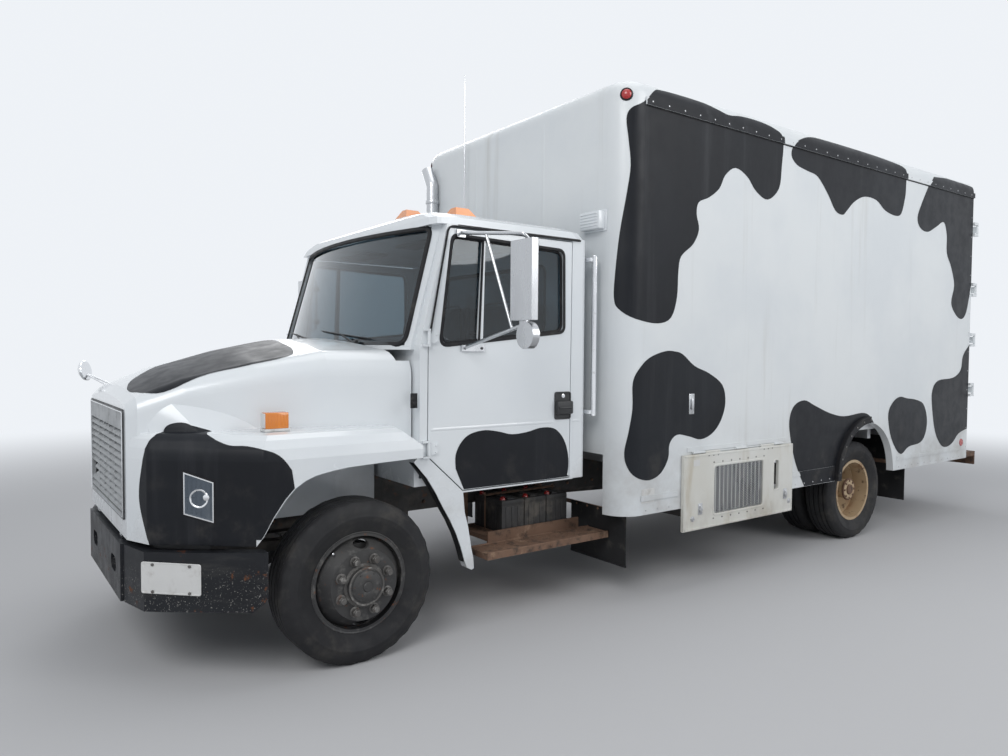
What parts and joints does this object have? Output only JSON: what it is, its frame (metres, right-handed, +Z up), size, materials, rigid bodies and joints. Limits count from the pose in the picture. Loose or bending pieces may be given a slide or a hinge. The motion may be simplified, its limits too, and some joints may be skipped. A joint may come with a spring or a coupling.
{
  "type": "insulated box truck",
  "caption": "Conventional-cab box truck: tilting hood, hinged doors, steered front wheels, dual rear wheels and an insulated body with barn doors.",
  "frame": {"origin": "middle of the length and width, on the ground under the tyres", "axes": "+X to the driver's side, +Y to the rear, +Z up"},
  "size_m": [3.16, 7.86, 3.7699],
  "materials": {
    "frame_black": "dusty black paint",
    "bumper_black": "scuffed black paint",
    "cast": "cast",
    "cooler": "finned",
    "bare_aluminium": "brushed",
    "rusty_steel": "rusty",
    "battery_plastic": "matte",
    "stack_steel": "brushed",
    "cab_paint": "gloss white paint",
    "tinted_glass": "clear",
    "trim_plastic": "grained",
    "seat_cloth": "woven",
    "amber_lens": "ribbed lens",
    "red_lens": "red lens",
    "box_panel": "weathered white paint",
    "flare_rubber": "matte",
    "chrome_bar": "polished",
    "grille_grey": "grey moulded",
    "clear_lens": "clear lens",
    "wheel_black": "worn black paint",
    "wheel_cream": "rusty cream paint",
    "tyre_rubber": "dusty"
  },
  "bodies": {
    "chassis": {"chassis_frame": "frame_black", "front_bumper": "bumper_black", "front_axle": "frame_black", "rear_axle": "frame_black", "drive_shaft": "frame_black", "engine_block": "cast", "radiator": "cooler", "fuel_tank": "bare_aluminium", "battery_step": "rusty_steel", "batteries": "battery_plastic", "exhaust_stack": "stack_steel", "cab_floor": "cab_paint", "cab_back": "cab_paint", "cab_roof": "cab_paint", "cab_sides": "cab_paint", "windscreen_frame": "cab_paint", "cab_glass": "tinted_glass", "dashboard": "trim_plastic", "seats": "seat_cloth", "roof_lamps": "amber_lens", "box_floor": "bare_aluminium", "box_front_wall": "box_panel", "box_side_left": "box_panel", "box_side_right": "box_panel", "box_roof": "box_panel", "rear_frame": "box_panel", "flares": "flare_rubber", "mud_flaps": "flare_rubber", "rear_step": "rusty_steel", "cooling_unit": "cast", "grab_bars": "chrome_bar", "antenna": "stack_steel", "tail_lamps": "red_lens"},
    "hood_panel": {"hood": "cab_paint", "grille": "grille_grey", "hood_lamps": "clear_lens"},
    "left_door": {"door_left": "cab_paint", "door_glass_left": "tinted_glass", "mirror_left": "stack_steel"},
    "right_door": {"door_right": "cab_paint", "door_glass_right": "tinted_glass", "mirror_right": "stack_steel"},
    "left_cargo_door": {"rear_door_left": "box_panel"},
    "right_cargo_door": {"rear_door_right": "box_panel"},
    "access_hatch": {"access_door": "box_panel"},
    "left_knuckle": {"knuckle_left": "frame_black"},
    "right_knuckle": {"knuckle_right": "frame_black"},
    "track_rod": {"tie_rod": "frame_black"},
    "front_left_wheel": {"wheel_front_left": "wheel_black", "tyre_front_left": "tyre_rubber"},
    "front_right_wheel": {"wheel_front_right": "wheel_black", "tyre_front_right": "tyre_rubber"},
    "rear_left_wheels": {"wheels_rear_left": "wheel_cream", "tyres_rear_left": "tyre_rubber"},
    "rear_right_wheels": {"wheels_rear_right": "wheel_cream", "tyres_rear_right": "tyre_rubber"}
  },
  "joints": [
    {"name": "hood_tilt", "type": "hinge", "parent": "chassis", "child": "hood_panel", "pos_m": [0, -3.895, 0.672], "axis": [1, 0, 0], "range_deg": [0, 75]},
    {"name": "left_door_swing", "type": "hinge", "parent": "chassis", "child": "left_door", "pos_m": [1.024, -2.5, 1.4], "axis": [0, 0, -1], "range_deg": [0, 70]},
    {"name": "right_door_swing", "type": "hinge", "parent": "chassis", "child": "right_door", "pos_m": [-1.024, -2.5, 1.4], "axis": [0, 0, 1], "range_deg": [0, 70]},
    {"name": "left_cargo_door_swing", "type": "hinge", "parent": "chassis", "child": "left_cargo_door", "pos_m": [1.229, 3.713, 2], "axis": [0, 0, -1], "range_deg": [0, 195]},
    {"name": "right_cargo_door_swing", "type": "hinge", "parent": "chassis", "child": "right_cargo_door", "pos_m": [-1.229, 3.713, 2], "axis": [0, 0, 1], "range_deg": [0, 265]},
    {"name": "access_hatch_swing", "type": "hinge", "parent": "chassis", "child": "access_hatch", "pos_m": [1.233, -0.053, 0.93], "axis": [0, -1, 0], "range_deg": [0, 100]},
    {"name": "steer_left", "type": "hinge", "parent": "chassis", "child": "left_knuckle", "pos_m": [0.78, -2.91, 0.42], "axis": [0, 0, 1], "range_deg": [-35, 35]},
    {"name": "steer_right", "type": "hinge", "parent": "chassis", "child": "right_knuckle", "pos_m": [-0.78, -2.91, 0.42], "axis": [0, 0, 1], "range_deg": [-35, 35]},
    {"name": "track_rod_pivot", "type": "hinge", "parent": "left_knuckle", "child": "track_rod", "pos_m": [0.78, -2.71, 0.36], "axis": [0, 0, 1], "range_deg": [-35, 35]},
    {"name": "front_left_spin", "type": "hinge", "parent": "left_knuckle", "child": "front_left_wheel", "pos_m": [0.94, -2.91, 0.42], "axis": [1, 0, 0], "continuous": true},
    {"name": "front_right_spin", "type": "hinge", "parent": "right_knuckle", "child": "front_right_wheel", "pos_m": [-0.94, -2.91, 0.42], "axis": [1, 0, 0], "continuous": true},
    {"name": "rear_left_spin", "type": "hinge", "parent": "chassis", "child": "rear_left_wheels", "pos_m": [0.86, 1.72, 0.42], "axis": [1, 0, 0], "continuous": true},
    {"name": "rear_right_spin", "type": "hinge", "parent": "chassis", "child": "rear_right_wheels", "pos_m": [-0.86, 1.72, 0.42], "axis": [1, 0, 0], "continuous": true}
  ],
  "couplings": [
    {"joint": "steer_right", "follows": "steer_left", "ratio": 1},
    {"joint": "track_rod_pivot", "follows": "steer_left", "ratio": -1}
  ]
}
